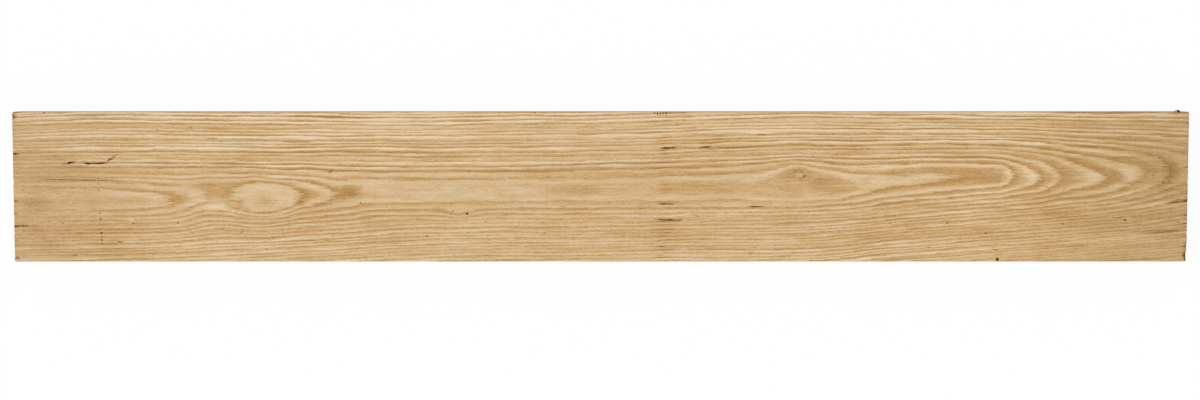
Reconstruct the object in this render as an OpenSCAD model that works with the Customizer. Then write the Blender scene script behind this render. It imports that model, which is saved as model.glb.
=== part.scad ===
// Sawn timber plank, one piece of solid wood lying flat on its wide face.
// X runs along the length, Y across the width and Z through the thickness.
// The origin is the middle of the underside. Sizes are millimetres.

/* [Plank] */
// Length from end cut to end cut
plank_length = 1830; // [600:1:6000]
// Width of the wide face
plank_width = 234; // [80:1:400]
// Thickness of the stock
plank_thickness = 38; // [18:0.5:100]

/* [Eased edges] */
// Radius of the four long arrises
arris_radius = 3; // [0.5:0.1:6]
// Radius of the four upright corners at the ends
corner_radius = 2; // [0.5:0.1:10]
// Radius worn on the sawn arrises of the two ends
end_arris_radius = 1; // [0.2:0.1:3]

/* [Drying checks] */
// Widest opening of a drying check at the top face
check_width = 1.4; // [0.4:0.1:3]
// Depth of a drying check at its middle
check_depth = 3; // [1:0.1:8]

/* [Pin hole] */
// Diameter of the dark pin hole
pin_hole_diameter = 3.6; // [1:0.1:6]
// Depth of the pin hole
pin_hole_depth = 9; // [2:0.5:15]
// Distance of the pin hole from the right end
pin_hole_from_end = 295; // [20:1:550]
// Distance of the pin hole from the front edge
pin_hole_from_edge = 3.4; // [2:0.1:30]

/* [Broken corner] */
// How far the break runs along the right end, from the front edge
chip_run = 17; // [5:0.5:35]
// How far the break cuts back from the right end at the top face
chip_back = 3.6; // [1:0.1:8]
// How far the break reaches down the right end
chip_drop = 4.5; // [2:0.5:16]
// Length of the thinner splinter lost beside the break
splinter_run = 11; // [3:0.5:30]

/* [Hidden] */
wood = "burlywood";
cut_sides = 180; // sides of round cuts and eased edges
past = 1;        // how far a cutter runs past the face that it opens

half_length = plank_length / 2;
half_width = plank_width / 2;

// Each check is [share of the length from the left end, share of the width
// from the front edge, length, turn in degrees]. The last three are end
// splits: their middles are at an end cut, so half of each runs into the wood.
checks = [
    [0.049, 0.662, 18, 14],
    [0.07, 0.656, 36, -1],
    [0.083, 0.684, 20, 32],
    [0.557, 0.76, 26, 2],
    [0.589, 0.767, 20, 6],
    [0.556, 0.386, 28, -2],
    [0.559, 0.279, 42, -3],
    [0.632, 0.369, 26, -1],
    [1, 0.403, 68, 0],
    [0, 0.239, 62, 0],
    [0, 0.719, 22, 0]
];

// The break at the front right corner, then the splinter beside it, each as
// [distance from the front edge, run along the end, cut back, drop].
breaks = [
    [0, chip_run, chip_back, chip_drop],
    [chip_run, splinter_run, chip_back / 2, chip_drop / 2]
];

// A rectangle about the origin with true round corners.
module eased_rectangle(length, width, radius) {
    square([length - 2 * radius, width], center = true);
    square([length, width - 2 * radius], center = true);
    for (x = [-1, 1], y = [-1, 1])
        translate([x * (length / 2 - radius), y * (width / 2 - radius)])
            circle(r = radius, $fn = cut_sides);
}

// The stock with its long arrises eased, cut to length, its upright corners
// and its end arrises worn round.
module sawn_stock() {
    translate([0, 0, plank_thickness / 2])
        intersection() {
            rotate([90, 0, 90])
                linear_extrude(height = plank_length + 2 * past, center = true)
                    eased_rectangle(plank_width, plank_thickness, arris_radius);
            linear_extrude(height = plank_thickness + 2 * past, center = true)
                eased_rectangle(plank_length, plank_width, corner_radius);
            rotate([90, 0, 0])
                linear_extrude(height = plank_width + 2 * past, center = true)
                    eased_rectangle(plank_length, plank_thickness, end_arris_radius);
        }
}

// A drying check: a shallow split that is pointed at both ends and V-shaped
// in section. It is the rim of a sharp-edged disc that dips into the face.
module drying_check(length) {
    dip = check_depth + past;
    disc_radius = (length * length / 4 + check_depth * check_depth) / (2 * check_depth);
    flare = check_width / 2 / check_depth;
    translate([0, 0, plank_thickness + disc_radius - check_depth])
        rotate([90, 0, 0])
            rotate_extrude($fn = 2 * cut_sides)
                polygon([
                    [disc_radius - dip, -flare * dip],
                    [disc_radius, 0],
                    [disc_radius - dip, flare * dip]
                ]);
}

module all_checks() {
    for (c = checks)
        translate([c[0] * plank_length - half_length, c[1] * plank_width - half_width, 0])
            rotate([0, 0, c[3]])
                drying_check(c[2]);
}

// A blind hole that runs down from the top face beside the front edge.
module pin_hole() {
    translate([
        half_length - pin_hole_from_end,
        pin_hole_from_edge - half_width,
        plank_thickness - pin_hole_depth
    ])
        cylinder(d = pin_hole_diameter, h = pin_hole_depth + past, $fn = cut_sides);
}

// Wood lost from the top of the right end, in steps along the end.
module broken_corner() {
    for (b = breaks) {
        runs_out = b[0] == 0 ? past : 0;
        translate([half_length, b[0] + b[1] - half_width, plank_thickness])
            rotate([90, 0, 0])
                linear_extrude(height = b[1] + runs_out)
                    polygon([[-b[2], past], [past, past], [past, -b[3]], [0, -b[3]], [-b[2], 0]]);
    }
}

module plank() {
    color(wood)
        difference() {
            sawn_stock();
            all_checks();
            pin_hole();
            broken_corner();
        }
}

plank();
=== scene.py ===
import bpy
import math
import numpy as np
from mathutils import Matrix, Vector


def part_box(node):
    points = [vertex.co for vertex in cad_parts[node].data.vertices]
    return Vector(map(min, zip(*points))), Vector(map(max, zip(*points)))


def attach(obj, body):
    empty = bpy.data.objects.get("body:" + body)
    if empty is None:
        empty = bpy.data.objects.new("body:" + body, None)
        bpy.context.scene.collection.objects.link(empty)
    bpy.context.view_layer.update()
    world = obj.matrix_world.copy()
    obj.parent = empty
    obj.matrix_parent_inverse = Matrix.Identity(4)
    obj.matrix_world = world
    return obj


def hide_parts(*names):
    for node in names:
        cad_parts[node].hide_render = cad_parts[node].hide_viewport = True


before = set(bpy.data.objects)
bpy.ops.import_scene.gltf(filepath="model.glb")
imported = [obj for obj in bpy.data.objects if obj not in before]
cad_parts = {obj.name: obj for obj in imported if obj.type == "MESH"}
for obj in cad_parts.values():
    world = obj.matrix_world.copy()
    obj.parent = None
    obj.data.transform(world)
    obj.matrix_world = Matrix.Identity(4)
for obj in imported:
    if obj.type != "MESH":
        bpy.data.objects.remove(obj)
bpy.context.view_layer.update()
scene = bpy.context.scene
scene.view_settings.view_transform = "Standard"
mm = 0.001  # the script thinks in millimetres, Blender in metres

low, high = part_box("plank")
halfLength = (high[0] - low[0]) / 2 / mm
halfWidth = (high[1] - low[1]) / 2 / mm
thickness = (high[2] - low[2]) / mm
print("frame loaded, plank", round(2 * halfLength), "x", round(2 * halfWidth), "x", round(thickness), "mm")

# How the growth rings lie in the plank. The tree's middle runs along under the show face.
# Rings are counted outwards from the ring that shows as the pale band at mid-length.
grain = {
    # x, y of the heart line, ring that meets the face there, half width of the flat band above and below
    "heart": [
        (-915, -20, -2.7, 15, 10), (-780, -20, -2.55, 14, 10), (-718, -20, -2.4, 10, 8),
        (-669, -20, -2, 3, 3), (-641, -16, -1.5, 2, 6), (-628, -11, -1.15, 2, 14),
        (-618, -7, -0.98, 3, 20), (-605, -5, -0.85, 3, 24), (-588, -5, -0.85, 3, 27),
        (-572, -7, -1.02, 5, 29), (-556, -11, -1.25, 12, 30), (-523, -15, -1.5, 20, 30),
        (-490, -13, -1.3, 16, 24), (-468, -10, -1, 8, 12), (-430, -11, -0.4, 0, 0),
        (-411, -11, 0, 0, 0), (-383, -9, 0.14, 4, 4), (-366, -7, 0.4, 8, 8), (-313, -6, 0.55, 13, 13),
        (-157, -6, 0.6, 13, 13), (-87, -6, 0.4, 10, 10), (0, -5, 0.3, 8, 8), (155, -3, 0.3, 8, 8),
        (217, -1, 0.25, 6, 9), (250, 0, 0.18, 6, 13), (280, 1, 0.13, 9, 15), (311, 2, 0.08, 14, 15),
        (350, 2, 0.1, 13, 14), (380, 2, 0.15, 9, 11), (405, 4, 0.35, 7, 7), (436, 8, 0.6, 6, 6),
        (467, 12, 0.62, 0, 0), (514, 15, 0.68, 0, 0), (545, 16, 0.8, 0, 0), (568, 17, 0.92, 0, 0),
        (592, 18, 1, 0, 0), (622, 18, 1.2, 0, 0), (645, 17, 2, 0, 0), (686, 15, 3, 0, 0),
        (716, 16, 4, 0, 0), (780, 15, 5, 0, 0), (843, 21, 6, 0, 0), (880, 24, 7, 0, 0),
        (915, 26, 7.8, 0, 0)],
    # x, y and ring of the calmer heart line that the outer lines follow
    "calm": [
        (-915, -20, -2.7), (-640, -17, -1.6), (-411, -11, -0.4), (-300, -8, 0.2), (0, -4, 0.4),
        (311, 3, 0.3), (500, 11, 0.9), (640, 16, 2.1), (785, 18, 4.6), (915, 22, 6.6)],
    "calmReach": (34, 50),  # how far above and below the heart line its swirls still bend the lines
    # x, ring width far above the heart line, far below it
    "spread": [
        (-915, 5.5, 5.4), (-800, 5.7, 5.4), (-640, 5.62, 5.3), (-500, 5.45, 5.2), (-313, 5.3, 5),
        (0, 5.25, 4.9), (311, 5.35, 5), (467, 4.95, 4.75), (640, 4.75, 4.55), (785, 4.9, 4.4),
        (915, 5.1, 4.3)],
    "coreRings": 8.5,    # rings between the tree's middle and ring 0
    "coreWidth": 7.0,    # their width
    # x, y, reach along, reach across, how far the lines above and below are pushed aside
    "knots": [
        (305, 1, 30, 38, 21, 4), (-538, 0, 22, 28, 5, 5), (-222, -33, 18, 17, 1, 9),
        (146, -47, 14, 8, 4, 4), (201, -45, 8, 5, 2.5, 2.5), (818, -51, 14, 8, 4, 4),
        (829, 42, 10, 6, 2.5, 2.5), (444, 103, 12, 6, 2.5, 2.5), (515, 107, 16, 7, 2.5, 2.5)],
    "knotRound": 6,    # length over which the push is rounded off at the middle of a knot
    "knotTurn": 3,     # width over which it turns from upwards to downwards
    # slow wander and quicker sway of the lines: how far in rings, length along and across
    "wander": [(0.07, 420, 90), (0.03, 150, 30)],
    # away from the heart line rings are wider or narrower: how much, over how many rings
    "uneven": [(0.11, 2.7), (0.12, 3.9)],
    "seed": 11,
}


# Cubics through the rows' points, one for each column after x: each slope is the harmonic mean of its two
# neighbours, none at a turn.
def smoothCurves(rows, x):
    at, *columns = np.array(rows, float).T
    step = np.diff(at)
    i = np.clip(np.searchsorted(at, x) - 1, 0, len(at) - 2)
    u = np.clip((x - at[i]) / step[i], 0, 1)
    curves = []
    for value in columns:
        rise = np.diff(value) / step
        same = rise[:-1] * rise[1:] > 0
        before = np.where(same, rise[:-1], 1)
        after = np.where(same, rise[1:], 1)
        slope = np.zeros_like(value)
        slope[1:-1] = np.where(same, 2 * before * after / np.where(same, before + after, 1), 0)
        slope[0], slope[-1] = rise[0], rise[-1]
        start = (1 + 2 * u) * (1 - u) ** 2 * value[i] + u * (1 - u) ** 2 * step[i] * slope[i]
        finish = u * u * (3 - 2 * u) * value[i + 1] + u * u * (u - 1) * step[i] * slope[i + 1]
        curves.append(start + finish)
    return curves


# A sum of sine waves with seeded directions and phases, about one high.
def ripple(x, y, seed, lengthX, lengthY, waves=9):
    rng = np.random.default_rng(seed)
    total = 0
    for wave in range(waves):
        alongX = rng.uniform(0.4, 1.6) / lengthX
        alongY = rng.uniform(-1.6, 1.6) / lengthY
        total = total + np.sin(2 * math.pi * (x * alongX + y * alongY + rng.uniform()))
    return total / math.sqrt(waves / 2)


# Rings between a point and the tree's middle, less coreRings: the length of a slanting line whose
# upright part is the depth of the middle and whose level part is the offset from the heart line.
# Before that, each knot draws the point towards its own middle, so that the lines bend out around it.
def ringField(x, y, depth):
    roundOff = grain["knotRound"]
    for knotX, knotY, reachX, reachY, pushUp, pushDown in grain["knots"]:
        away = np.hypot(x - knotX, roundOff) - roundOff
        near = np.exp(-away / reachX - ((y - knotY) / reachY) ** 4)
        push = np.where(y > knotY, pushUp, pushDown) * near
        y = y - push * np.tanh((y - knotY) / grain["knotTurn"])
    calmLine, calmRing = smoothCurves(grain["calm"], x)
    heartLine, heartRing, flatAbove, flatBelow = smoothCurves(grain["heart"], x)
    upper, lower = smoothCurves(grain["spread"], x)
    reach = np.where(y > calmLine, *grain["calmReach"])
    close = np.exp(-((y - calmLine) / reach) ** 2)
    offset = y - calmLine - (heartLine - calmLine) * close
    ring = calmRing + (heartRing - calmRing) * close
    flat = np.where(offset > 0, flatAbove, flatBelow) * close
    aside = np.abs(offset)
    aside = aside ** 4 / (aside ** 3 + flat ** 3 + 0.001)  # 0.001 keeps zero from being divided by zero
    level = aside / np.where(offset > 0, upper, lower)
    upright = ring + grain["coreRings"] - depth / grain["coreWidth"]
    count = np.hypot(level, upright) - grain["coreRings"]
    for seed, (height, lengthX, lengthY) in enumerate(grain["wander"]):
        count = count + height * ripple(x, y + depth, grain["seed"] + seed, lengthX, lengthY)
    for uneven, span in grain["uneven"]:
        count = count + uneven * (1 - close) * np.sin(2 * math.pi * count / span)
    return count, close


plank = {
    "arris": 3.0,       # radius of the long arrises
    "corner": 2.0,      # radius of the upright corners
    "endArris": 1.0,    # radius worn on the arrises of the end cuts
    "along": 250,       # cells along, apart from those close to the ends
    "across": 220,      # cells across the show face
    "deep": 20,         # cells from the underside to the show face
    "underStep": 4,     # cells across the show face for each one of the underside
    # distances of the close stations from the ends, from the edges and from the two faces
    "endSteps": [0, 0.3, 1, 2, 3.2, 5, 7, 9.5, 11.5, 12.3, 13, 13.6, 14.2, 15, 17],
    "sideSteps": [0, 0.4, 0.9, 1.4, 2.0, 2.5, 3.0, 3.8, 4.8],
    "deepSteps": [0, 0.5, 1.2, 2.0, 3.0],
    # x and half width of the places with closer stations, and how much closer they are
    "closer": [(-800, 45, 2.5), (125, 60, 2.0), (620, 4, 12), (240, 20, 1.5), (640, 40, 1.2)],
    "raisedGrain": 0.16,  # how far the pale wood stands above the dark lines
    "paleAt": 0.62,       # part of a ring where it stands highest
    "calmEdge": 4,        # width beside the arrises over which raised grain and saw marks die out
    # drying checks: share of the length, share of the width, length, turn, how dark
    "checks": [
        (0.049, 0.662, 18, 14, 0.8), (0.07, 0.656, 36, -1, 0.9), (0.083, 0.684, 20, 32, 0.75),
        (0.557, 0.76, 26, 2, 1.5), (0.589, 0.767, 20, 6, 0.7), (0.556, 0.386, 28, -2, 0.6),
        (0.559, 0.279, 42, -1.5, 1), (0.632, 0.369, 26, -1, 0.8), (1, 0.403, 68, 5, 0.4),
        (0, 0.239, 62, 0, 0.45), (0, 0.719, 22, 0, 0.6)],
    # finer splits beside them: x, y, length, turn, how dark
    "splits": [
        (-801, 38.6, 13, -20, 0.8), (-754, 50, 11, 22, 0.8), (-833, 35, 9, -12, 0.4),
        (896, -24, 22, 4, 0.4)],
    "checkWidth": 2.0,
    "checkDepth": 2.4,
    "checkStain": 1.7,    # how far to each side the dark of a check reaches
    "checkSway": (0.35, 2.7),        # how far a check sways from a straight line, mm for a radian of that
    "checkFade": (0.72, 0.36, 2.4),  # its darkness, how far that comes and goes, mm for a radian of that
    "pinHole": (620, -113.6, 1.8, 5),  # x, y, radius, depth of the hole in the front arris
    "stub": (899, 35, 2.8, 3.0),  # x, z, radius of the dark stub on the back edge, how far it stands out
    # wood lost from the right end: distance from the front edge, run, cut back, drop
    "breaks": [(0, 17, 3.6, 4.5), (17, 11, 1.8, 2.25)],
    "breakLap": 3,      # how far a break runs on into the one before it
    "breakSway": (0.8, 9, 30),  # how far its sides sway, the length of that down and along the end
    "breakReach": 40,   # length over which the stations close up behind the break
    "sawnEdge": (0.12, 40, 10),  # depth of the saw's texture on the edges, its length along and down
    "tornEnd": (0.35, 26, 11),   # depth of its tearing on the end cuts, the length of that down and along
    # soft patches of the show face, browner or paler: x, y, half length, half width, turn, how much browner
    "patches": [
        (-668, -20, 17, 7, -12, 0.14), (-880, -26, 34, 22, 0, 0.1), (-45, -5, 52, 11, 0, 0.14),
        (-389, -6, 24, 15, 0, 0.14), (-735, -20, 70, 10, 0, 0.1), (802, 55, 104, 6, -8, 0.14),
        (878, 30, 32, 18, -10, 0.14), (882, 4, 36, 24, 0, 0.1), (826, 23, 22, 18, 0, -0.28),
        (670, 14, 14, 12, 0, -0.1), (873, -25, 24, 5, 10, -0.14), (-597, -25, 40, 15, 0, -0.32),
        (-602, -6, 32, 14, 0, -0.16), (-562, -27, 17, 8, -40, 0.34), (-464, -6, 9, 5, 0, 0.06),
        (-463, -27, 10, 7, 0, 0.12), (310, 22, 14, 12, 0, 0.06), (322, -4, 15, 18, 0, -0.2),
        (-640, 2, 24, 6, 0, -0.14), (755, 15, 40, 14, 0, -0.14), (99, -8, 13, 6, 0, 0.13),
        (100, 6, 13, 6, 0, 0.09), (99, 24, 12, 5, 0, 0.13), (252, 14, 44, 10, 15, -0.2),
        (373, 17, 46, 9, -12, -0.14), (303, -25, 90, 4.5, 0, -0.12), (285, -5, 140, 24, 0, -0.13),
        (-603, -18, 24, 7, 0, -0.18), (-524, -40, 36, 2.8, 0, 0.14), (-520, -45, 44, 2.6, 0, -0.12),
        (679, -67, 90, 18, 0, -0.1), (480, 14, 75, 14, 4, -0.12), (-834, -82, 130, 60, 0, 0.12),
        (-620, 66, 150, 22, 0, -0.12), (-320, 90, 220, 30, 0, -0.1), (378, 66, 80, 20, 0, 0.12),
        (190, 66, 120, 20, 0, 0.07), (-227, -34, 80, 18, 0, 0.1), (75, -80, 80, 45, 0, 0.08),
        (75, 34, 80, 18, 0, 0.08)],
    # places where the rings are faint: x, y, half length, half width, turn, how faint
    "faint": [
        (800, -92, 330, 46, 0, 0.35), (-890, -25, 170, 120, 0, 0.6), (890, 26, 100, 60, 0, 0.55),
        (722, 16, 34, 28, 0, 0.5)],
    "seed": 5,
}


# Stations from -half to half: a few set distances from each end, and between them steps that
# shrink where the weight is high, by reading the running sum of the weight backwards.
def stations(half, count, ends, closer=(), samples=8001):
    fine = np.linspace(-half + ends[-1], half - ends[-1], samples)
    weight = np.ones_like(fine)
    for middle, reach, gain in closer:
        weight += gain * np.exp(-((fine - middle) / reach) ** 2)
    running = np.concatenate(([0], np.cumsum((weight[1:] + weight[:-1]) / 2)))
    inner = np.interp(np.linspace(0, running[-1], count + 1), running, fine)
    ends = np.array(ends[:-1])
    return np.concatenate((ends - half, inner, (half - ends)[::-1]))


# Rounds a square edge: a point within the radius of both faces is drawn in to the arc about the
# edge's centre.
def easeEdge(a, b, halfA, halfB, radius):
    overA = np.maximum(np.abs(a) - (halfA - radius), 0)
    overB = np.maximum(np.abs(b) - (halfB - radius), 0)
    length = np.hypot(overA, overB)
    both = (overA > 0) & (overB > 0)
    draw = np.where(both, np.maximum(overA, overB) / np.maximum(length, 1e-9), 1) - 1
    return a + np.sign(a) * overA * draw, b + np.sign(b) * overB * draw


# Distances along and across a mark that is turned by some degrees, from the offsets from its middle.
def turnedAxes(x, y, turn):
    turned = math.radians(turn)
    along = x * math.cos(turned) + y * math.sin(turned)
    return along, y * math.cos(turned) - x * math.sin(turned)


# The drying checks as x, y, length, turn and darkness, from their shares of the length and width.
def checkRows():
    return [((2 * shareX - 1) * halfLength, (2 * shareY - 1) * halfWidth, *rest)
            for shareX, shareY, *rest in plank["checks"]]


# Depth of the drying checks below the face, deepest at the middle of their length with straight sides in
# section, and their dark, partly stain and partly painted shade in the check, which comes and goes along
# it.
def checkDepths(x, y):
    depth = np.zeros_like(x)
    stain = np.zeros_like(x)
    sway, swayLength = plank["checkSway"]
    steady, fade, fadeLength = plank["checkFade"]
    for middleX, middleY, length, turn, dark in checkRows() + plank["splits"]:
        along, across = turnedAxes(x - middleX, y - middleY, turn)
        across = across + sway * np.sin(along / swayLength + length)
        wide = np.clip(1 - (2 * along / length) ** 2, 0, 1)
        side = np.clip(1 - 2 * np.abs(across) / plank["checkWidth"], 0, 1)
        depth = np.maximum(depth, plank["checkDepth"] * wide * side)
        # the dark is partly stain and partly painted shade in the check
        shown = dark * wide ** 0.3 * (steady + fade * np.cos(along / fadeLength + 0.3 * length))
        beside = np.clip(1.2 - 1.2 * np.abs(across) / plank["checkStain"], 0, 1)
        stain = np.maximum(stain, shown * beside)
    return depth, stain


# Soft ovals, each one in the middle and zero at its rim, times their strengths and added up.
def softOvals(x, y, rows):
    total = np.zeros_like(x)
    for middleX, middleY, reach, width, turn, strength in rows:
        along, across = turnedAxes(x - middleX, y - middleY, turn)
        part = np.clip(1.1 - 1.1 * np.hypot(along / reach, across / width), 0, 1)
        total = total + strength * part * part * (3 - 2 * part)
    return total


# How far the break at the right end cuts back: most at the show face, none below its drop.
def breakDepths(y, below):
    back = np.zeros_like(y)
    sway, lengthDown, lengthAlong = plank["breakSway"]
    fromFront = y + halfWidth + sway * ripple(below, y, plank["seed"], lengthDown, lengthAlong)
    for start, run, cut, drop in plank["breaks"]:
        inside = (fromFront > start - plank["breakLap"]) & (fromFront < start + run)
        back = np.maximum(back, np.where(inside, cut * np.clip(1 - below / drop, 0, 1), 0))
    return back


# The plank is the skin of a box of grid cells: a point's place comes from its three station numbers,
# then its edges are eased, its ends torn and broken, and its show face raised and grooved.
def buildPlank():
    sideSteps, deepSteps = plank["sideSteps"], plank["deepSteps"]
    xs = stations(halfLength, plank["along"], plank["endSteps"], plank["closer"])
    ys = stations(halfWidth, plank["across"] - 2 * (len(sideSteps) - 1), sideSteps)
    zs = stations(thickness / 2, plank["deep"] - 2 * (len(deepSteps) - 1), deepSteps)
    nx, ny, nz = len(xs) - 1, len(ys) - 1, len(zs) - 1

    i, j, k = np.meshgrid(np.arange(nx + 1), np.arange(ny + 1), np.arange(nz + 1), indexing="ij")
    onEnd = (i == 0) | (i == nx)
    onSide = (j == 0) | (j == ny)
    skin = onEnd | onSide | (k == nz) | ((k == 0) & (j % plank["underStep"] == 0))
    number = np.full(skin.shape, -1)
    number[skin] = np.arange(skin.sum())
    i, j, k = i[skin], j[skin], k[skin]

    x, y, z = xs[i], ys[j], zs[k]
    y, z = easeEdge(y, z, halfWidth, thickness / 2, plank["arris"])
    x, y = easeEdge(x, y, halfLength, halfWidth, plank["corner"])
    x, z = easeEdge(x, z, halfLength, thickness / 2, plank["endArris"])
    below = thickness / 2 - z
    count, close = ringField(x, y, below)

    top = k == nz
    inner = np.clip((halfWidth - np.abs(y)) / plank["calmEdge"], 0, 1)
    inRing = np.cos(2 * math.pi * (count - plank["paleAt"]))
    raised = plank["raisedGrain"] / 2 * (inRing - 1) * inner
    groove, stain = checkDepths(x, y)
    stain = np.where(top, stain, 0)
    holeX, holeY, holeRadius, holeDepth = plank["pinHole"]
    fromHole = np.hypot(x - holeX, y - holeY) / holeRadius
    hole = holeDepth * np.clip(4 - 3.4 * fromHole, 0, 1)  # steep sides
    z = z + np.where(top, raised - np.maximum(groove, hole), 0)

    stubX, stubZ, stubRadius, stubHigh = plank["stub"]
    fromStub = np.hypot(x - stubX, thickness / 2 + z - stubZ) / stubRadius
    stub = stubHigh * np.clip(1.6 - 1.6 * fromStub, 0, 1)  # sloping sides and a flat top
    sawnDepth, sawnAlong, sawnDown = plank["sawnEdge"]
    sawn = sawnDepth * ripple(x, z, plank["seed"] + 1, sawnAlong, sawnDown)
    level = np.clip((thickness / 2 - np.abs(z)) / plank["calmEdge"], 0, 1)
    y = y - np.sign(y) * np.where(onSide[skin], np.abs(sawn) * level - np.where(y > 0, stub, 0), 0)

    tornDepth, tornDown, tornAlong = plank["tornEnd"]
    torn = tornDepth * np.abs(ripple(z, y, plank["seed"] + 2, tornDown, tornAlong))
    cut = torn + np.where(x > 0, breakDepths(y, below), 0)
    behind = np.clip(1 - (halfLength - np.abs(x)) / plank["breakReach"], 0, 1)
    x = x - np.sign(x) * cut * behind

    points = np.column_stack((x, y, z + thickness / 2)) * mm
    values = {
        "ringCount": count, "heartNear": close, "checkStain": stain,
        "brownPatch": np.where(top, softOvals(x, y, plank["patches"]), 0),
        "faintRings": softOvals(x, y, plank["faint"])}
    return points, values, *plankFaces(number, nx, ny, nz)


# Four corner numbers for each cell of a grid of point numbers.
def cells(grid):
    return np.stack((grid[:-1, :-1], grid[1:, :-1], grid[1:, 1:], grid[:-1, 1:]), -1).reshape(-1, 4)


# The six sides as grids of point numbers. The underside has fewer points across, and a strip of
# triangles at each end joins it to the closer points of the end cut.
def plankFaces(number, nx, ny, nz):
    step = plank["underStep"]
    under = number[1:nx, ::step, 0]
    faces = [cells(number[:, :, nz]), cells(under)[:, ::-1],
             cells(number[:, 0, :]), cells(number[:, ny, :])[:, ::-1],
             cells(number[0, :, :])[:, ::-1], cells(number[nx, :, :])]
    for edge, row, flip in ((number[0, :, 0], under[0], False), (number[nx, :, 0], under[-1], True)):
        owner = (np.arange(ny) + step // 2) // step
        fine = np.stack((edge[:-1], edge[1:], row[owner]), -1)
        change = np.flatnonzero(np.diff(owner)) + 1
        coarse = np.stack((row[owner[change - 1]], edge[change], row[owner[change]]), -1)
        both = np.concatenate((fine, coarse))
        faces.append(both[:, ::-1] if flip else both)
    kinds = [0, 0, 1, 1, 2, 2, 0, 0]  # material of each: planed face, sawn edge or sawn end
    kinds = np.concatenate([np.full(len(side), kind) for side, kind in zip(faces, kinds)])
    return [side.tolist() for side in faces], kinds


# A new object in the scene.
def addObject(name, data):
    made = bpy.data.objects.new(name, data)
    scene.collection.objects.link(made)
    return made


# The plank's mesh and object, with the values at its points and its materials.
def makePlank(materials):
    points, values, faces, kinds = buildPlank()
    mesh = bpy.data.meshes.new("sawnPlank")
    mesh.from_pydata(points.tolist(), [], [corner for group in faces for corner in group])
    mesh.polygons.foreach_set("material_index", kinds)
    mesh.polygons.foreach_set("use_smooth", np.ones(len(kinds), bool))
    for name, value in values.items():
        mesh.attributes.new(name, "FLOAT", "POINT").data.foreach_set("value", value)
    for material in materials:
        mesh.materials.append(material)
    mesh.update()
    piece = addObject("sawnPlank", mesh)
    print("plank surface:", len(points), "points,", len(kinds), "faces")
    return piece


# Colours are written as on a screen, 0 to 255, and turned into linear light.
def shade(red, green, blue):
    level = np.array([red, green, blue]) / 255
    linear = np.where(level > 0.04045, ((level + 0.055) / 1.055) ** 2.4, level / 12.92)
    return (*linear.tolist(), 1)


# Adds a node, sets its options, and fills or links its inputs.
def put(tree, kind, inputs=None, **options):
    node = tree.nodes.new(kind)
    for name, value in options.items():
        setattr(node, name, value)
    for name, value in (inputs or {}).items():
        if isinstance(value, bpy.types.NodeSocket):
            tree.links.new(value, node.inputs[name])
        else:
            node.inputs[name].default_value = value
    return node


# One step of arithmetic on values or sockets.
def sums(tree, operation, *values, clamp=False):
    node = put(tree, "ShaderNodeMath", dict(enumerate(values)), operation=operation, use_clamp=clamp)
    return node.outputs[0]


# One step of arithmetic on vectors.
def vectorSums(tree, operation, *values):
    return put(tree, "ShaderNodeVectorMath", dict(enumerate(values)), operation=operation).outputs[0]


# A tone with a share of another value added to it, or taken from it.
def addShare(tree, tone, value, share):
    return sums(tree, "ADD", tone, sums(tree, "MULTIPLY", value, share))


def takeShare(tree, tone, value, share):
    return sums(tree, "SUBTRACT", tone, sums(tree, "MULTIPLY", value, share))


# A value that goes from first to last while another goes from start to end, and stays there past them.
def carried(tree, value, start, end, first=0.0, last=1.0, **options):
    node = put(tree, "ShaderNodeMapRange", {
        "Value": value, "From Min": start, "From Max": end, "To Min": first, "To Max": last}, **options)
    return node.outputs[0]


# A value that the plank's mesh carries at its points.
def surfaceValue(tree, name):
    return put(tree, "ShaderNodeAttribute", attribute_name=name).outputs["Fac"]


# Noise about zero with its own size along X, Y and Z in millimetres. Its gain is its whole height.
def grainNoise(tree, place, size, detail=2.0, gain=2.0):
    scaled = vectorSums(tree, "MULTIPLY", place, [1 / s for s in size])
    noise = put(tree, "ShaderNodeTexNoise", {"Vector": scaled, "Scale": 1, "Detail": detail})
    return sums(tree, "MULTIPLY", sums(tree, "SUBTRACT", noise.outputs[0], 0.5), gain)


# A ramp through stops, each a place from 0 to 1 and a colour or a plain level.
def ramp(tree, factor, stops, interpolation="LINEAR"):
    node = put(tree, "ShaderNodeValToRGB", {"Fac": factor})
    node.color_ramp.interpolation = interpolation
    while len(node.color_ramp.elements) < len(stops):
        node.color_ramp.elements.new(0.5)
    for element, (place, colour) in zip(node.color_ramp.elements, stops):
        element.position = place
        element.color = colour if isinstance(colour, tuple) else (colour, colour, colour, 1)
    return node.outputs[0]


# sockets of the node groups that aren't plain numbers
socketKinds = {"Place": "Vector", "Middle": "Vector", "Turn": "Vector", "Size": "Vector", "Color": "Color"}


# An empty node group with named sockets: the group, what it is given, and the sockets of its results.
def newGroup(name, inputs, outputs):
    tree = bpy.data.node_groups.new(name, "ShaderNodeTree")
    for way, labels in (("INPUT", inputs), ("OUTPUT", outputs)):
        for label in labels:
            kind = "NodeSocket" + socketKinds.get(label, "Float")
            tree.interface.new_socket(label, in_out=way, socket_type=kind)
    return tree, tree.nodes.new("NodeGroupInput").outputs, tree.nodes.new("NodeGroupOutput").inputs


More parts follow.
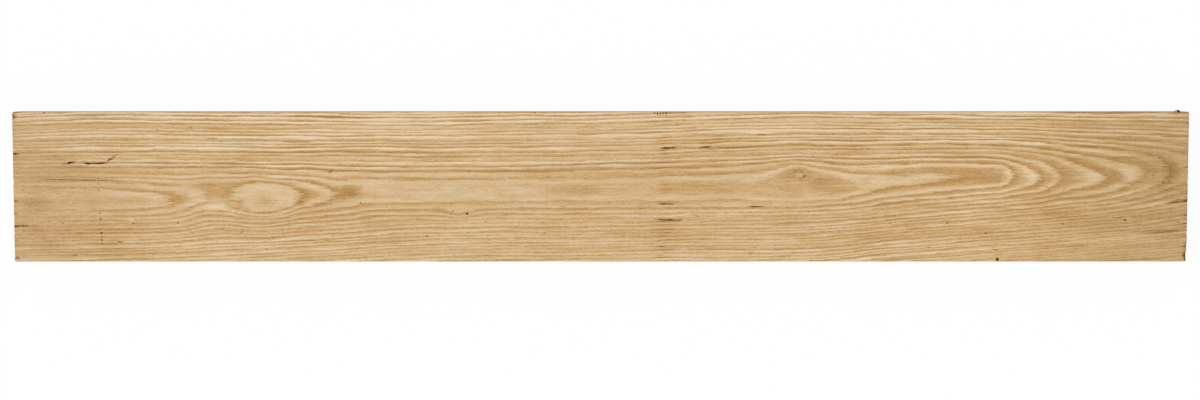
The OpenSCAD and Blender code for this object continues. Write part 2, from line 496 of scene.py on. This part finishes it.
ringLook = {
    # size of the slow wavering of the lines, its detail, how far it goes, how much less near the heart line
    "slowWaver": ((75, 7, 7), 1.0, 7.0, 0.7),
    # sizes of the quicker wavering, detail, how far it goes
    "waver": [((45, 1.8, 1.8), 2.0, 6.0), ((14, 0.9, 0.9), 2.0, 2.0)],
    # power that sets a ring's share of dark wood, and a ring's strength: the least, and what chance adds
    "bend": (0.6, 0.9),
    "strength": (0.3, 1.4),
    "nearStrength": 0.98,  # strength of all rings near the heart line
    "swell": ((50, 5, 5), 2.0, 2.0),  # size of the places where a ring comes and goes, detail, how far
    "own": 0.4,            # how far the tones of whole rings differ
    # part of a ring from its start, how pale it is there
    "profile": [(0.0, 0.0), (0.1, 0.02), (0.24, 0.26), (0.42, 0.56), (0.6, 0.94), (0.78, 1.0),
                (0.92, 0.78), (1.0, 0.0)],
}


# Tone of the growth rings: dark where a ring starts, paling outwards. Each ring has a strength and a
# share of dark wood of its own, and its strength comes and goes along the grain. Near the heart line
# all are strong.
def ringGroup():
    tree, given, out = newGroup("growthRings", ["Count", "Near", "Place", "Ragged"], ["Tone", "Early"])
    place, near = given["Place"], given["Near"]
    size, detail, gain, calm = ringLook["slowWaver"]
    shift = grainNoise(tree, place, size, detail, gain)
    shift = sums(tree, "MULTIPLY", shift, takeShare(tree, 1, near, calm))
    for size, detail, gain in ringLook["waver"]:
        shift = sums(tree, "ADD", shift, grainNoise(tree, place, size, detail, gain))
    count = addShare(tree, given["Count"], shift, given["Ragged"])
    chance = put(tree, "ShaderNodeTexWhiteNoise", {"W": sums(tree, "FLOOR", count)}, noise_dimensions="1D")
    other = put(tree, "ShaderNodeSeparateColor", {"Color": chance.outputs["Color"]}).outputs["Green"]
    least, more = ringLook["bend"]
    part = sums(tree, "POWER", sums(tree, "FRACT", count), addShare(tree, least, other, more))
    least, more = ringLook["strength"]
    strength = addShare(tree, least, chance.outputs["Value"], more)
    swell = grainNoise(tree, place, *ringLook["swell"])
    strength = sums(tree, "MULTIPLY", strength, sums(tree, "ADD", swell, 1))
    lacking = sums(tree, "SUBTRACT", ringLook["nearStrength"], strength)
    strength = addShare(tree, strength, lacking, near)
    profile = ramp(tree, part, ringLook["profile"])
    tone = sums(tree, "MULTIPLY", sums(tree, "SUBTRACT", profile, 0.5), strength)
    tone = addShare(tree, tone, sums(tree, "SUBTRACT", other, 0.5), ringLook["own"])
    tree.links.new(tone, out["Tone"])
    tree.links.new(sums(tree, "SUBTRACT", 1, profile, clamp=True), out["Early"])
    return tree


fibreLook = {
    # streaks that follow the rings: size, detail, strength
    "inRing": ((5.0, 2.0, 1.0), 2.0, 1.6),
    # streaks that run straight: size, strength
    "straight": [((2.2, 4.5, 4.5), 1.0), ((0.8, 1.8, 1.8), 0.7), ((0.3, 1.8, 1.8), 1.2)],
    "pores": ((0.6, 0.9, 0.9), 1.0),  # size, detail
    "poreOpens": (0.12, 0.42),        # noise at which a pore starts to show, and is all dark
}


# Streaks of fibre, some that follow the rings and some that run straight, and the short dark mouths of
# the pores, all drawn out along the grain.
def fibreGroup():
    tree, given, out = newGroup("woodFibre", ["Count", "Place", "Length"], ["Streak", "Pores"])
    parts = put(tree, "ShaderNodeSeparateXYZ", {0: given["Place"]}).outputs
    long = sums(tree, "DIVIDE", parts["X"], given["Length"])
    straight = put(tree, "ShaderNodeCombineXYZ", {"X": long, "Y": parts["Y"], "Z": parts["Z"]}).outputs[0]
    inRing = sums(tree, "MULTIPLY", given["Count"], grain["coreWidth"])
    curved = put(tree, "ShaderNodeCombineXYZ", {"X": long, "Y": inRing, "Z": 0.0}).outputs[0]
    streak = grainNoise(tree, curved, *fibreLook["inRing"])
    for size, strength in fibreLook["straight"]:
        streak = addShare(tree, streak, grainNoise(tree, straight, size), strength)
    tree.links.new(streak, out["Streak"])
    pore = grainNoise(tree, straight, *fibreLook["pores"])
    tree.links.new(carried(tree, pore, *fibreLook["poreOpens"]), out["Pores"])
    return tree


# tone, colour: below 0 the dirt and painted shade in cracks and holes, 0 the darkest line, 1 the palest
# wood
woodColours = [
    (-0.6, shade(56, 22, 0)), (-0.3, shade(108, 58, 8)), (0.0, shade(150, 104, 51)),
    (0.12, shade(177, 133, 76)), (0.25, shade(191, 150, 96)), (0.4, shade(202, 163, 111)),
    (0.52, shade(210, 174, 125)), (0.66, shade(217, 186, 143)), (0.83, shade(226, 200, 162)),
    (1.0, shade(235, 213, 181))]


# Wood colour from a tone, along the list above.
def colourGroup():
    tree, given, out = newGroup("woodColour", ["Tone"], ["Color"])
    first, last = woodColours[0][0], woodColours[-1][0]
    stops = [((tone - first) / (last - first), wood) for tone, wood in woodColours]
    made = ramp(tree, carried(tree, given["Tone"], first, last), stops)
    tree.links.new(made, out["Color"])
    return tree


# An oval mark: one inside, falling to zero at its rim.
def markGroup():
    tree, given, out = newGroup("woodMark", ["Place", "Middle", "Turn", "Size", "Soft"], ["Mask"])
    local = put(tree, "ShaderNodeMapping", {
        "Vector": given["Place"], "Location": given["Middle"], "Rotation": given["Turn"],
        "Scale": given["Size"]}, vector_type="TEXTURE")
    far = put(tree, "ShaderNodeVectorMath", {0: local.outputs[0]}, operation="LENGTH").outputs["Value"]
    full = sums(tree, "SUBTRACT", 1, given["Soft"])
    mask = carried(tree, far, 1.0, full, interpolation_type="SMOOTHSTEP")
    tree.links.new(mask, out["Mask"])
    return tree


groups = {"rings": ringGroup(), "fibre": fibreGroup(), "colour": colourGroup(), "mark": markGroup()}
print("wood node groups built")


def placeGroup(tree, group, inputs):
    return put(tree, "ShaderNodeGroup", inputs, node_tree=groups[group]).outputs


# A new material, its nodes, its shader and the place on the plank in millimetres.
def newMaterial(name):
    material = bpy.data.materials.new(name)
    material.use_nodes = True
    tree = material.node_tree
    coords = tree.nodes.new("ShaderNodeTexCoord").outputs["Object"]
    inMm = put(tree, "ShaderNodeVectorMath", {0: coords, "Scale": 1 / mm}, operation="SCALE").outputs[0]
    return material, tree, tree.nodes["Principled BSDF"], inMm


# Rings, fibre and pores of a surface. With near at zero, every ring keeps a strength of its own.
def woodGrain(tree, at, look, near=0.0):
    count = surfaceValue(tree, "ringCount")
    rings = placeGroup(tree, "rings", {"Count": count, "Near": near, "Place": at, "Ragged": look["ragged"]})
    fibre = placeGroup(tree, "fibre", {"Count": count, "Place": at, "Length": look["fibreLength"]})
    pores = sums(tree, "MULTIPLY", fibre["Pores"], rings["Early"])
    return rings["Tone"], rings["Early"], fibre["Streak"], pores


# Fills the shader's sockets: rougher in the dark wood of a ring, with the relief in its normal.
def finishWood(tree, shader, look, wood, early, height):
    tree.links.new(wood, shader.inputs["Base Color"])
    tree.links.new(addShare(tree, look["roughness"], early, look["earlyRough"]), shader.inputs["Roughness"])
    strength, distance = look["bump"]
    bump = put(tree, "ShaderNodeBump", {"Height": height, "Strength": strength, "Distance": distance * mm})
    tree.links.new(bump.outputs[0], shader.inputs["Normal"])
    shader.inputs["Specular IOR Level"].default_value = look["specular"]


faceWood = {
    "ragged": 0.1,      # how far fibres shift the ring lines, in rings
    "fibreLength": 16,  # how far fibres are drawn out along the grain
    "rings": 1.38,      # strength of the ring tone
    "darkestRing": (0.12, 0.15),  # tone that the rings never darken past, and how gently they stop there
    "streaks": 0.195,
    "pores": 0.48,
    "tone": 0.5,        # tone of the wood before anything is added to it
    # darker and paler blotches, then bands along the grain: size, detail, strength
    "blotches": ((130, 34, 34), 2.0, 0.32),
    "bands": ((300, 9, 9), 1.0, 0.32),
    # share of the length, tone added there
    "along": [
        (0, -0.05), (0.06, -0.02), (0.14, 0.06), (0.55, 0.06), (0.8, 0.03), (0.9, -0.07),
        (1, -0.17)],
    # share of the width from the front edge, tone added there
    "acrossFace": [
        (0, 0.02), (0.1, 0.02), (0.22, -0.04), (0.36, -0.02), (0.5, -0.01), (0.62, -0.04),
        (0.75, -0.04), (0.87, 0.03), (1, 0.11)],
    # share of the width from the front edge, strength of the rings there
    "ringsAcross": [
        (0, 0.34), (0.2, 0.28), (0.35, 0.3), (0.45, 0.4), (0.55, 0.42), (0.66, 0.44), (0.78, 0.4),
        (0.9, 0.55), (1, 0.58)],
    # share of the length, how much stronger they are there
    "ringsAlong": [
        (0, 0.54), (0.12, 0.74), (0.21, 0.96), (0.29, 0.92), (0.38, 0.72), (0.46, 0.64), (0.54, 0.64),
        (0.62, 0.76), (0.71, 0.88), (0.79, 0.92), (0.88, 0.8), (0.96, 0.64), (1, 0.6)],
    # stain left by a stacking stick: x, half width, softness, how much darker the lines and the face are
    "stickStain": (100, 22, 0.95, 0.12, 0.01),
    # line of dots at the left: x and y of its middle, half width, half length, lean, softness
    "dotLine": (-780, -45, 1.9, 80, 3, 0.6),
    # its dots: y, half height, darkness
    "dots": [
        (13, 2.2, 1), (5, 2.2, 1), (-5, 2.2, 0.7), (-41, 2.2, 0.5), (-50, 2.2, 0.7),
        (-72, 2.2, 1.3), (-78, 2.2, 0.7), (-83, 2.2, 1.2), (-89, 2.2, 0.6), (-103, 2.2, 0.8)],
    "nickReach": (1, 9),  # how far in from the end cuts nicks are all dark, and end
    # nicks in the arrises of the left end and of the right end: y, half height, darkness
    "leftNicks": [
        (110, 7, 0.9), (51, 1.7, 0.7), (-22, 2, 0.7), (-42, 2.4, 0.6), (-62.6, 1.7, 0.6),
        (-84, 1.7, 0.5), (-112, 3, 0.6)],
    "rightNicks": [
        (99, 1.5, 0.4), (73, 1.5, 0.3), (31, 1.8, 0.6), (-16, 1.8, 0.5), (-21, 1.6, 0.5),
        (-44, 1.7, 0.5), (-57, 1.5, 0.5), (-62, 1.5, 0.4), (-93, 6, 0.5), (-107, 9, 0.8)],
    "checkDark": 0.75,  # how dark the sides of a check are
    "checkLine": (1.0, 0.6, 0.65),  # half width of the dark line along its middle, softness, how dark
    "crookedChecks": 0.2,  # share of the length from the left end in which these lines are shaken
    # tiny dark flecks: cell length and width, share of the cells that have one, darkness
    "flecks": (30, 18, 0.09, 0.6),
    "fleckSize": (0.02, 0.085),  # parts of a cell within which a fleck is all dark, and ends
    "fleckFaint": 1.6,  # power that makes most of them faint
    # share of the half length where the ends start to grow greyer, and the right end darker and yellower,
    # then
    # what is reached at the end cut: saturation, brightness, and a hue a little yellower than the 0.5
    # elsewhere
    "greyEnds": (0.75, 0.93),
    "dullRight": (0.7, 0.95),
    "yellowRight": (0.6, 0.504),
    "endDarkening": (6, 0.45),  # how far in from the end cuts, how dark
    "arrisDarkening": (2.2, 0.22),  # how far in from the long arrises, how dark
    "darkeningFade": 1.5,  # power by which both fade inwards
    "darkPatches": ((22, 3.2, 3.2), 2.0, 2.6, 0.15),  # size of the patches in which it darkens, detail, strength, least
    "roughness": 0.62,
    "earlyRough": 0.12,  # how much rougher the dark wood of a ring is
    "bump": (0.5, 0.2),  # strength of the relief, its height
    "streakRelief": 0.3,  # share of the streaks in it, against the pores
    "specular": 0.12,
    "shake": (5, 2.6, 0),  # how far noise shakes the outlines of marks
    "shakeNoise": (0.6, 3.0),  # scale and detail of that noise
    "speckSoft": 0.7,
    "markDeep": 30,  # how deep marks reach, less than the thickness
    # the pin hole's dark is partly stain and partly painted shade in the hole
    "holeStainAndShade": (3.2, 1.2),  # radius of the dark around the pin hole, darkness
    # dark marks, and pale ones below zero: x, y, half length, half width, turn, strength
    "specks": [
        (899, 116.5, 2.6, 1.6, 0, 0.9), (-909, -112, 6, 2, -30, 0.4), (898, -20, 14, 0.8, 10, 0.4),
        (-865, 116, 3, 1.6, 0, 0.9), (-750, -86, 7, 1.2, -6, 0.8), (-640, 88.8, 12, 0.9, 0, 0.6),
        (-603, 76, 11, 1, 0, 0.7), (-590, 69, 4, 0.8, -50, 0.5), (-560, -71, 5, 0.9, 55, 0.7),
        (-539, -94, 8, 1, 8, 0.55), (-520, -97, 5, 0.8, 0, 0.65), (-422, 23, 5, 1.4, 20, 0.5),
        (-374, -25, 2, 1.4, 0, 0.9), (-271, -77, 4, 1.1, 0, 0.75), (-230, -37.6, 2.2, 1.6, 0, 0.7),
        (-208, -42, 3, 2, 0, 1.1), (-102, 115, 2, 1.2, 0, 0.6), (-58.7, -30.6, 6, 0.9, -4, 0.7),
        (-452, -83, 9, 1.1, 0, 0.7), (-424, -84, 10, 1, 2, 0.6), (615, -98, 7, 0.9, -4, 0.7),
        (584, -115, 2.4, 1.4, 0, 0.6), (872, -69, 52, 4.2, 1, 0.18), (818, -51.6, 3, 2, 0, 0.8),
        # the mark at x 317 on the next line is painted shade beside the knot's painted highlight at x 309
        (802, -48, 12, 0.8, 2, 0.5), (150, -46, 7, 1, -30, 0.4), (317, 16, 3.2, 2.2, 50, 0.4),
        (304, 24.5, 1.8, 1.3, 0, 0.45), (313, 25, 1.8, 1.5, 0, 0.9), (249, 81, 12, 1.6, 0, 0.4),
        (238, 85, 10, 2, 10, -0.3), (-800, 10.6, 120, 1.5, -1, 0.36), (-664, 95, 4, 0.8, 60, 0.4),
        (-637, 92, 5, 0.9, -45, 0.5), (-694, 59, 4, 0.8, -45, 0.5), (-707, 54, 5, 0.8, -20, 0.4),
        (-611, 107, 4, 0.8, 60, 0.4), (-730, -56, 7, 0.8, -16, 0.4), (-731, -52, 9, 2.6, -20, -0.25),
        # the pale mark at x 309 on the next line is a painted highlight on the knot
        (309, 18.5, 8, 4.5, 0, -0.4), (-477, -19, 4, 1.1, 60, 0.3), (96, -93.5, 7, 1, 0, 0.45),
        (93, -107.5, 6, 0.9, 0, 0.4), (102, 112, 1.6, 5, 0, 0.45), (-827, 36.5, 3.4, 1.8, 20, 0.7),
        (-798, 36, 6, 1.7, 0, 0.6), (-776, 37.5, 8, 1.5, 4, 0.6), (-766, 42, 3.5, 1.5, 30, 0.5),
        (-757, 47, 3, 1.6, 30, 0.4)],
    # upright ticks on the back arris: first x, spacing, number, reach, softness, darkness
    "ticks": (84, 4.3, 5, 7.5, 0.4, 1.0),
    "tickMargin": 3,  # how far the row of ticks fades out past its ends
}


# An oval on the show face, turned by some degrees.
def faceMark(tree, place, x, y, reach, width, turn, soft):
    return placeGroup(tree, "mark", {
        "Place": place, "Middle": (x, y, thickness), "Turn": (0, 0, math.radians(turn)),
        "Size": (reach, width, faceWood["markDeep"]), "Soft": soft})["Mask"]


# Planed wood of the show face and the underside.
def faceMaterial(look):
    material, tree, shader, at = newMaterial("planedFace")
    ringTone, early, streak, pores = woodGrain(tree, at, look, surfaceValue(tree, "heartNear"))
    parts = put(tree, "ShaderNodeSeparateXYZ", {0: at}).outputs
    shareX = carried(tree, parts["X"], -halfLength, halfLength)
    shareY = carried(tree, parts["Y"], -halfWidth, halfWidth)

    # slow changes of tone, where each ramp holds half of the wood's own tone, so as not to go below zero
    tone = grainNoise(tree, at, *look["blotches"])
    tone = sums(tree, "ADD", tone, grainNoise(tree, at, *look["bands"]))
    for share, name in ((shareX, "along"), (shareY, "acrossFace")):
        stops = [(place, amount + look["tone"] / 2) for place, amount in look[name]]
        tone = sums(tree, "ADD", tone, ramp(tree, share, stops, "EASE"))

    # rings, fainter in places, then streaks and pores
    strength = look["rings"]
    for share, name in ((shareX, "ringsAlong"), (shareY, "ringsAcross")):
        strength = sums(tree, "MULTIPLY", ramp(tree, share, look[name]), strength)
    strength = takeShare(tree, strength, strength, surfaceValue(tree, "faintRings"))
    tone = addShare(tree, tone, ringTone, strength)
    tone = addShare(tree, tone, streak, look["streaks"])
    tone = takeShare(tree, tone, pores, look["pores"])
    tone = sums(tree, "SMOOTH_MAX", tone, *look["darkestRing"])

    # stains, and patchy darkening towards the end cuts and the long arrises
    stickX, stickHalf, stickSoft, stickLines, stickFace = look["stickStain"]
    stick = faceMark(tree, at, stickX, 0, stickHalf, 4 * halfWidth, 0, stickSoft)
    tone = takeShare(tree, tone, stick, addShare(tree, stickFace, early, stickLines))
    tone = sums(tree, "SUBTRACT", tone, surfaceValue(tree, "brownPatch"))
    size, detail, gain, least = look["darkPatches"]
    darkPatches = sums(tree, "ADD", grainNoise(tree, at, size, detail, gain), least, clamp=True)
    for axis, half, name in (("X", halfLength, "endDarkening"), ("Y", halfWidth, "arrisDarkening")):
        reach, dark = look[name]
        close = carried(tree, sums(tree, "ABSOLUTE", parts[axis]), half - reach, half)
        close = sums(tree, "MULTIPLY", sums(tree, "POWER", close, look["darkeningFade"]), darkPatches)
        tone = takeShare(tree, tone, close, dark)

    # dark marks, with their outlines shaken by noise
    scale, detail = look["shakeNoise"]
    rough = put(tree, "ShaderNodeTexNoise", {"Vector": at, "Scale": scale, "Detail": detail})
    loose = vectorSums(tree, "SUBTRACT", rough.outputs["Color"], (0.5, 0.5, 0.5))
    shaken = vectorSums(tree, "MULTIPLY_ADD", loose, look["shake"], at)
    # dark in and around the pin hole: partly stain, partly painted shade in the hole
    holeDarkRadius, holeDarkness = look["holeStainAndShade"]
    holeStainAndShade = (*plank["pinHole"][:2], holeDarkRadius, holeDarkRadius, 0, holeDarkness)
    for x, y, reach, width, turn, dark in look["specks"] + [holeStainAndShade]:
        mask = faceMark(tree, shaken, x, y, reach, width, turn, look["speckSoft"])
        tone = takeShare(tree, tone, mask, dark)

    # flecks, each near the middle of a cell of its own
    cellLong, cellWide, fleckShare, fleckDark = look["flecks"]
    cell = vectorSums(tree, "MULTIPLY", at, (1 / cellLong, 1 / cellWide, 0))
    spot = put(tree, "ShaderNodeTexVoronoi", {"Vector": cell, "Scale": 1.0}, voronoi_dimensions="2D")
    chance = put(tree, "ShaderNodeSeparateColor", {"Color": spot.outputs["Color"]}).outputs
    picked = sums(tree, "LESS_THAN", chance["Red"], fleckShare)
    faint = sums(tree, "POWER", chance["Green"], look["fleckFaint"])
    picked = sums(tree, "MULTIPLY", picked, faint)
    full, rim = look["fleckSize"]
    fleck = sums(tree, "MULTIPLY", carried(tree, spot.outputs["Distance"], rim, full), picked)
    tone = takeShare(tree, tone, fleck, fleckDark)

    # drying checks: dark sides and a dark middle line, partly stain and partly painted shade in the crack
    tone = takeShare(tree, tone, surfaceValue(tree, "checkStain"), look["checkDark"])
    lineHalf, lineSoft, lineDark = look["checkLine"]
    crookedTo = (2 * look["crookedChecks"] - 1) * halfLength
    for x, y, length, turn, dark in checkRows():
        place = shaken if x < crookedTo else at
        line = faceMark(tree, place, x, y, length / 2, lineHalf, turn, lineSoft)
        tone = takeShare(tree, tone, line, lineDark * dark)

    # nicks in the ends and the dotted line, as peaks across the width under a mask, then the ticks
    nickFull, nickEnd = look["nickReach"]
    rows = {
        "leftNicks": carried(tree, parts["X"], nickEnd - halfLength, nickFull - halfLength),
        "rightNicks": carried(tree, parts["X"], halfLength - nickEnd, halfLength - nickFull),
        "dots": faceMark(tree, at, *look["dotLine"])}
    for name, mask in rows.items():
        peaks = [(y + side * high, dark * (side == 0))
                 for y, high, dark in look[name] for side in (-1, 0, 1)]
        stops = sorted(((y + halfWidth) / 2 / halfWidth, dark) for y, dark in peaks)
        tone = takeShare(tree, tone, mask, ramp(tree, shareY, stops))
    tickX, tickStep, tickCount, tickReach, tickSoft, tickDark = look["ticks"]
    fromFirst = sums(tree, "MULTIPLY", sums(tree, "SUBTRACT", parts["X"], tickX), math.tau / tickStep)
    tick = sums(tree, "MAXIMUM", sums(tree, "COSINE", fromFirst), 0)
    tickMiddle = tickX + tickStep * (tickCount - 1) / 2
    tickHalf = tickStep * tickCount / 2 + look["tickMargin"]
    row = faceMark(tree, at, tickMiddle, halfWidth, tickHalf, tickReach, 0, tickSoft)
    tone = takeShare(tree, tone, sums(tree, "MULTIPLY", row, tick), tickDark)

    # colour, greyer towards both ends, darker and yellower towards the right end
    wood = placeGroup(tree, "colour", {"Tone": tone})["Color"]
    fromMiddle = sums(tree, "ABSOLUTE", parts["X"])
    endShift = {"Color": wood}
    changes = [("Saturation", "greyEnds", fromMiddle, 1.0), ("Value", "dullRight", parts["X"], 1.0),
               ("Hue", "yellowRight", parts["X"], 0.5)]
    for socket, name, place, usual in changes:
        start, reached = look[name]
        endShift[socket] = carried(tree, place, start * halfLength, halfLength, usual, reached)
    wood = put(tree, "ShaderNodeHueSaturation", endShift).outputs[0]
    height = sums(tree, "SUBTRACT", sums(tree, "MULTIPLY", streak, look["streakRelief"]), pores)
    finishWood(tree, shader, look, wood, early, height)
    return material


# Tone of a sawn surface: rings, streaks and pores on a tone of its own.
def sawnTone(tree, look, ringTone, streak, pores):
    tone = addShare(tree, look["tone"], ringTone, look["rings"])
    tone = addShare(tree, tone, streak, look["streaks"])
    return takeShare(tree, tone, pores, look["pores"])


edgeWood = {
    "ragged": 0.04, "fibreLength": 14, "rings": 0.3, "streaks": 0.14, "pores": 0.18, "tone": 0.36,
    "roughness": 0.7, "earlyRough": 0.1, "bump": (0.6, 0.25), "specular": 0.25,
    "stubStain": (0.6, 12, 0.4),  # how far past the stub its dark reaches, how deep, softness
}


def edgeMaterial(look):
    material, tree, shader, at = newMaterial("sawnEdge")
    ringTone, early, streak, pores = woodGrain(tree, at, look)
    tone = sawnTone(tree, look, ringTone, streak, pores)
    stubX, stubZ, stubRadius = plank["stub"][:3]
    past, deep, soft = look["stubStain"]
    stain = placeGroup(tree, "mark", {
        "Place": at, "Middle": (stubX, halfWidth, stubZ),
        "Size": (stubRadius + past, deep, stubRadius + past), "Soft": soft})["Mask"]
    wood = placeGroup(tree, "colour", {"Tone": sums(tree, "SUBTRACT", tone, stain)})["Color"]
    finishWood(tree, shader, look, wood, early, sums(tree, "SUBTRACT", streak, pores))
    return material


endWood = {
    "ragged": 0.05, "fibreLength": 1, "rings": 0.3, "streaks": 0.08, "pores": 0.25, "tone": 0.24,
    "roughness": 0.8, "earlyRough": 0.1, "bump": (0.8, 0.3), "specular": 0.2,
    "sawMarks": (40, 2.2, 60),          # size of the marks that the saw left
    "broken": ((9, 34, 8), 0.3, 0.42),  # half size of the dark of the broken corner, softness, how dark
}


def endMaterial(look):
    material, tree, shader, at = newMaterial("sawnEnd")
    ringTone, early, streak, pores = woodGrain(tree, at, look)
    saw = grainNoise(tree, at, look["sawMarks"])
    tone = sawnTone(tree, look, ringTone, sums(tree, "ADD", streak, saw), pores)
    size, soft, dark = look["broken"]
    broken = placeGroup(tree, "mark", {
        "Place": at, "Middle": (halfLength, -halfWidth, thickness), "Size": size, "Soft": soft})["Mask"]
    wood = placeGroup(tree, "colour", {"Tone": takeShare(tree, tone, broken, dark)})["Color"]
    finishWood(tree, shader, look, wood, early, sums(tree, "SUBTRACT", saw, pores))
    return material


piece = makePlank([faceMaterial(faceWood), edgeMaterial(edgeWood), endMaterial(endWood)])
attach(piece, "root")
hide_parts("plank")

studio = {
    "floorSize": 12.0,
    "floorShadow": 0.08,   # share of the floor's white that is lit, and so takes the plank's shadow
    "floorGrey": 0.8,      # colour of the floor in the light that it throws on the plank
    "worldLight": 0.72,
    "keyLight": 1.25,
    "keyFrom": (-0.75, -0.1, 0.62),
    "keySpread": 40,       # degrees
}


# A white floor that keeps the plank's shadow, an even white world and one soft sun.
def makeStudio():
    side = studio["floorSize"] / 2
    mesh = bpy.data.meshes.new("floor")
    corners = [(-side, -side, 0), (side, -side, 0), (side, side, 0), (-side, side, 0)]
    mesh.from_pydata(corners, [], [(0, 1, 2, 3)])
    floor = addObject("floor", mesh)
    material, tree = newMaterial("paleFloor")[:2]
    tree.nodes.clear()
    ray = tree.nodes.new("ShaderNodeLightPath").outputs
    mirrored = sums(tree, "MAXIMUM", ray["Is Glossy Ray"], ray["Is Transmission Ray"])
    seen = sums(tree, "MAXIMUM", ray["Is Camera Ray"], mirrored)
    lit, grey = studio["floorShadow"], studio["floorGrey"]
    white = put(tree, "ShaderNodeEmission", {"Color": (1, 1, 1, 1), "Strength": 1 - lit})
    matt = put(tree, "ShaderNodeBsdfDiffuse", {"Color": (lit, lit, lit, 1)})
    both = put(tree, "ShaderNodeAddShader", {0: white.outputs[0], 1: matt.outputs[0]})
    plain = put(tree, "ShaderNodeBsdfDiffuse", {"Color": (grey, grey, grey, 1)})
    mixed = put(tree, "ShaderNodeMixShader", {"Fac": seen, 1: plain.outputs[0], 2: both.outputs[0]})
    out = tree.nodes.new("ShaderNodeOutputMaterial")
    tree.links.new(mixed.outputs[0], out.inputs["Surface"])
    mesh.materials.append(material)

    world = bpy.data.worlds.new("studio")
    world.use_nodes = True
    sky = world.node_tree.nodes["Background"].inputs
    sky["Color"].default_value = (1, 1, 1, 1)
    sky["Strength"].default_value = studio["worldLight"]
    scene.world = world

    lamp = bpy.data.lights.new("key", "SUN")
    lamp.energy = studio["keyLight"]
    lamp.angle = math.radians(studio["keySpread"])
    key = addObject("key", lamp)
    key.rotation_euler = Vector(studio["keyFrom"]).to_track_quat("Z", "Y").to_euler()
    print("floor, world and key light set")


# The camera hangs over the plank and leans a little back, so that a sliver of the back edge shows.
view = {
    "aim": (-0.9, -20.4, 38),  # point of the show face in the middle of the picture
    "distance": 3200,
    "lean": 4.0,               # degrees from upright, towards the back edge
    "lens": 61.6,
    "sensor": 36,
}


def makeCamera():
    data = bpy.data.cameras.new("overhead")
    data.lens = view["lens"]
    data.sensor_width = view["sensor"]
    data.sensor_fit = "HORIZONTAL"
    camera = addObject("overhead", data)
    lean = math.radians(view["lean"])
    away = Vector((0, math.sin(lean), math.cos(lean)))
    camera.location = (Vector(view["aim"]) + view["distance"] * away) * mm
    camera.rotation_euler = (-lean, 0, 0)
    scene.camera = camera
    print("camera set")


makeStudio()
makeCamera()
